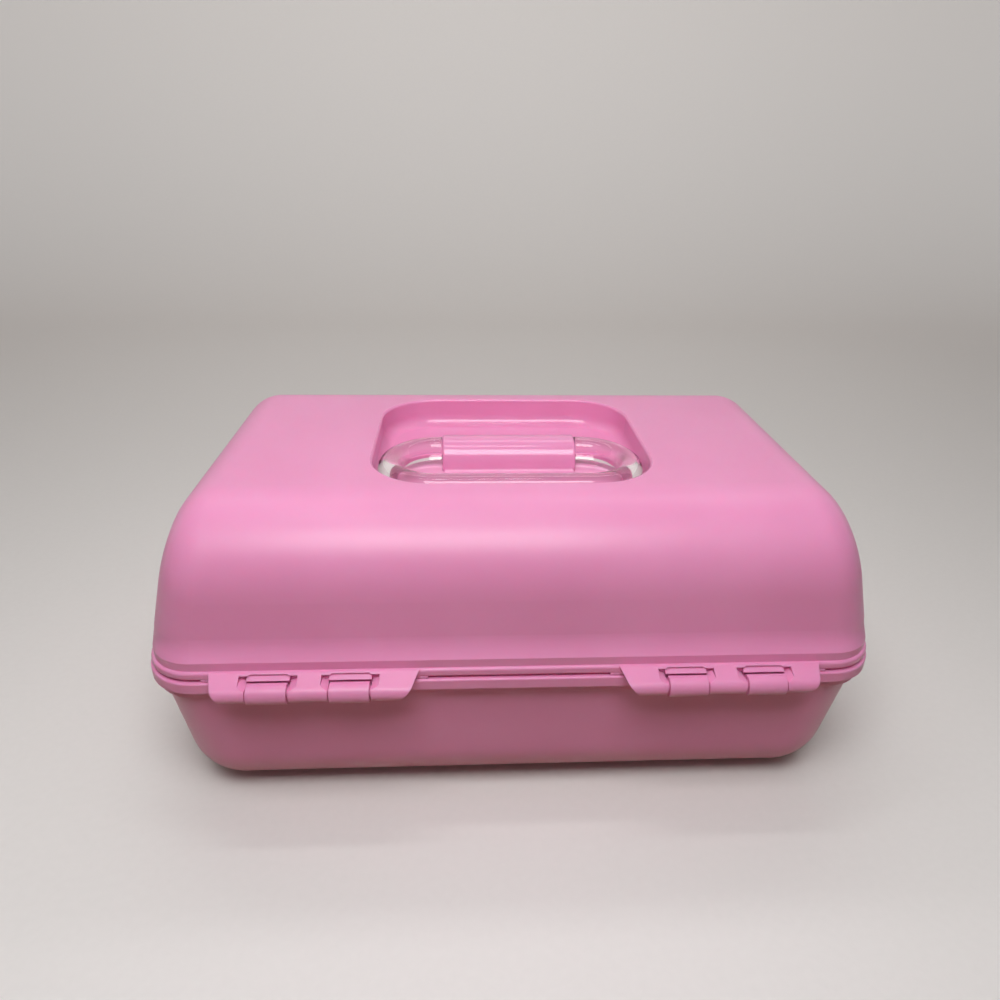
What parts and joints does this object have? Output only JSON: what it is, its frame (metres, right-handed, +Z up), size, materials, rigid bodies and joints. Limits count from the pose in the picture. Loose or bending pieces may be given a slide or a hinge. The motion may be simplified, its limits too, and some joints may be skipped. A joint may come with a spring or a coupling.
{
  "type": "makeup storage case",
  "caption": "Domed carry case with hinged lid, front latch, clear fold-flat handle in a recess, mirror under the lid and a divided tray that lifts as it opens.",
  "frame": {"origin": "on the table, at the centre of the case's outline (hooks at the hinge side and latch at the front reach equally far)", "axes": "+X along the case, +Y towards the latch side, -Y the hinge side, +Z up"},
  "size_m": [0.332, 0.2424, 0.1495],
  "materials": {
    "tub_shell": "moulded, satin",
    "lid_shell": "moulded, satin",
    "clear_handle": "clear, polished",
    "frame_white": "moulded, satin",
    "mirror_glass": "silvered glass",
    "tray_plastic": "moulded, satin",
    "arm_steel": "stamped and nickel plated",
    "steel": "turned, nickel plated"
  },
  "bodies": {
    "tub": {"tub": "tub_shell", "tub_arm_rivets": "steel"},
    "lid": {"lid": "lid_shell", "mirror_frame": "frame_white", "mirror": "mirror_glass", "mirror_screws": "steel", "lid_link_rivets": "steel", "latch_pin": "steel"},
    "handle": {"carry_handle": "clear_handle"},
    "latch": {"front_latch": "lid_shell"},
    "rear_arms": {"rear_arm_left": "arm_steel", "rear_arm_right": "arm_steel", "arm_link_rivets": "steel"},
    "front_arms": {"front_arm_left": "arm_steel", "front_arm_right": "arm_steel"},
    "tray": {"tray": "tray_plastic", "tray_arm_rivets": "steel", "divider_1": "tray_plastic", "divider_2": "tray_plastic", "divider_3": "tray_plastic", "divider_4": "tray_plastic"},
    "lid_links": {"lid_link_left": "arm_steel", "lid_link_right": "arm_steel"}
  },
  "joints": [
    {"name": "lid_hinge", "type": "hinge", "parent": "tub", "child": "lid", "pos_m": [0, -0.1166, 0.077], "axis": [1, 0, 0], "range_deg": [0, 100]},
    {"name": "handle_pivot", "type": "hinge", "parent": "lid", "child": "handle", "pos_m": [0, 0, 0.142], "axis": [-1, 0, 0], "range_deg": [0, 180]},
    {"name": "latch_pivot", "type": "hinge", "parent": "lid", "child": "latch", "pos_m": [0, 0.11716, 0.0837], "axis": [1, 0, 0], "range_deg": [0, 90]},
    {"name": "rear_arm_swing", "type": "hinge", "parent": "tub", "child": "rear_arms", "pos_m": [0, -0.076, 0.0663], "axis": [1, 0, 0], "range_deg": [0, 100]},
    {"name": "front_arm_swing", "type": "hinge", "parent": "tub", "child": "front_arms", "pos_m": [0, 0.004, 0.0663], "axis": [1, 0, 0], "range_deg": [0, 100]},
    {"name": "tray_level", "type": "hinge", "parent": "rear_arms", "child": "tray", "pos_m": [0, -0.01199, 0.05501], "axis": [1, 0, 0], "range_deg": [-100, 0]},
    {"name": "link_swing", "type": "hinge", "parent": "lid", "child": "lid_links", "pos_m": [0, -0.0846, 0.091], "axis": [1, 0, 0], "range_deg": [-100, 0]}
  ],
  "couplings": [
    {"joint": "rear_arm_swing", "follows": "lid_hinge", "ratio": 1},
    {"joint": "front_arm_swing", "follows": "lid_hinge", "ratio": 1},
    {"joint": "tray_level", "follows": "lid_hinge", "ratio": -1},
    {"joint": "link_swing", "follows": "lid_hinge", "ratio": -1}
  ]
}
